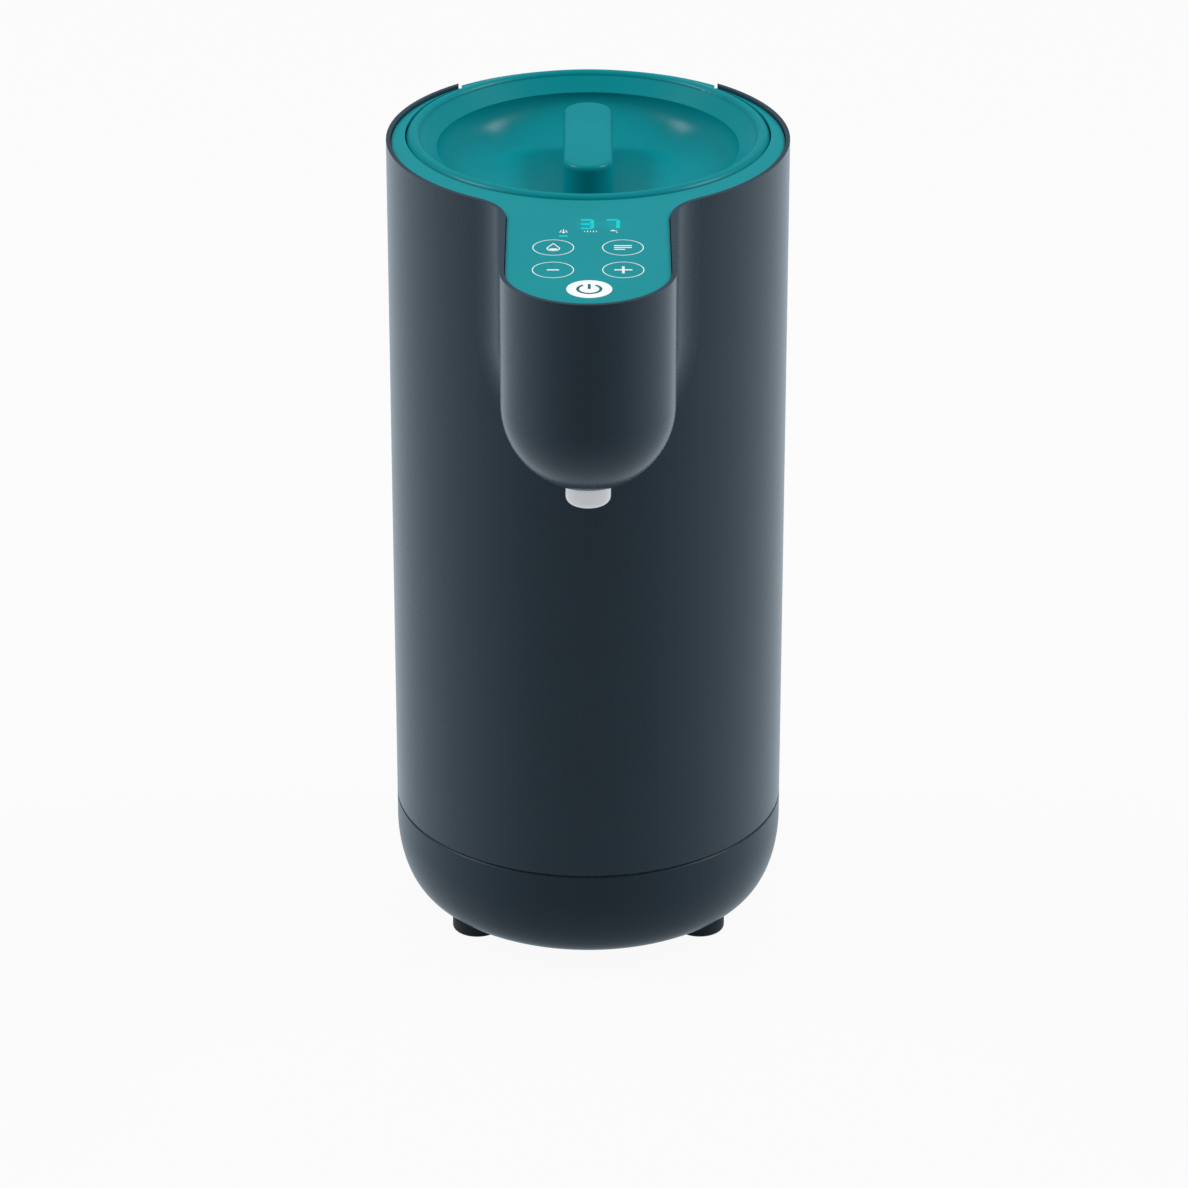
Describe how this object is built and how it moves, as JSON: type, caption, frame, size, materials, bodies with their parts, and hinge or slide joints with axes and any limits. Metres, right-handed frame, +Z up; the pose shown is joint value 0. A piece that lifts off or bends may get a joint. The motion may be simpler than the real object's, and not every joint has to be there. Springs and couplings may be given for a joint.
{
  "type": "baby formula maker",
  "caption": "Upright drum-shaped appliance that warms water for baby feeds, with a front spout housing, touch panel, lift-out tank with valve and float, pump and heater.",
  "frame": {"origin": "on the table, on the axis of the drum", "axes": "+Z up, -Y towards the spout housing and the user, +X to the user's right"},
  "size_m": [0.156, 0.2468, 0.328],
  "materials": {
    "slate_shell": "fine matt slate-grey moulding",
    "slate_base": "fine matt slate-grey moulding",
    "teal_deck": "satin teal moulding with printed touch marks",
    "teal_lid": "satin teal moulding",
    "white_nozzle": "smooth white moulding",
    "foot_rubber": "soft dark rubber",
    "clear_tank": "clear smoke-tinted moulding",
    "white_part": "plain white moulding",
    "black_part": "plain black moulding",
    "silicone": "translucent silicone",
    "steel": "plain steel",
    "alloy": "cast alloy",
    "board": "green circuit board",
    "magnet": "ferrite ring",
    "display": "dark display module",
    "wire": "insulated wire"
  },
  "bodies": {
    "housing": {"outer_shell": "slate_shell", "base_cap": "slate_base", "foot_front_left": "foot_rubber", "foot_rear_left": "foot_rubber", "foot_front_right": "foot_rubber", "foot_rear_right": "foot_rubber", "control_deck": "teal_deck", "deck_screws": "steel", "touch_board": "board", "touch_board_screws": "steel", "touch_pads": "black_part", "led_display": "display", "tank_cradle": "black_part", "socket_gasket": "silicone", "level_sensor": "board", "base_screws": "steel", "spout_elbow": "white_part", "pump_head": "white_part", "pump_motor": "steel", "pump_mounts": "foot_rubber", "heater_body": "alloy", "heater_bracket": "steel", "thermal_cutouts": "steel", "temperature_sensor": "steel", "tank_hose": "silicone", "heater_hose": "silicone", "spout_hose": "silicone", "wire_harness": "wire", "power_board": "board", "board_parts": "black_part", "board_screws": "steel", "power_inlet": "black_part"},
    "tank": {"water_tank": "clear_tank", "valve_seat": "white_part", "valve_cage": "white_part", "valve_spring": "steel", "inlet_filter": "steel", "float_guide": "white_part"},
    "lid": {"tank_lid": "teal_lid", "lid_seal": "silicone", "lid_inner_plate": "teal_lid"},
    "valve": {"valve_poppet": "white_part", "valve_seal": "silicone"},
    "float": {"level_float": "white_part", "float_magnet": "magnet"},
    "pump_rotor": {"pump_rotor": "white_part"},
    "nozzle": {"spout_nozzle": "white_nozzle"}
  },
  "joints": [
    {"name": "tank_lift", "type": "slide", "parent": "housing", "child": "tank", "axis": [0, 0, 1], "range_m": [0, 0.17]},
    {"name": "lid_lift", "type": "slide", "parent": "tank", "child": "lid", "axis": [0, 0, 1], "range_m": [0, 0.06]},
    {"name": "valve_slide", "type": "slide", "parent": "tank", "child": "valve", "axis": [0, 0, 1], "range_m": [0, 0.002], "stiffness_N_per_m": 150, "springref_m": -0.003, "deforming": ["valve_spring"]},
    {"name": "float_slide", "type": "slide", "parent": "tank", "child": "float", "axis": [0, 0, 1], "range_m": [0, 0.085]},
    {"name": "pump_spin", "type": "hinge", "parent": "housing", "child": "pump_rotor", "pos_m": [0.034, 0.0069, 0.04], "axis": [0, 0, 1], "continuous": true},
    {"name": "nozzle_pull", "type": "slide", "parent": "housing", "child": "nozzle", "axis": [0, 0, -1], "range_m": [0, 0.02]}
  ]
}
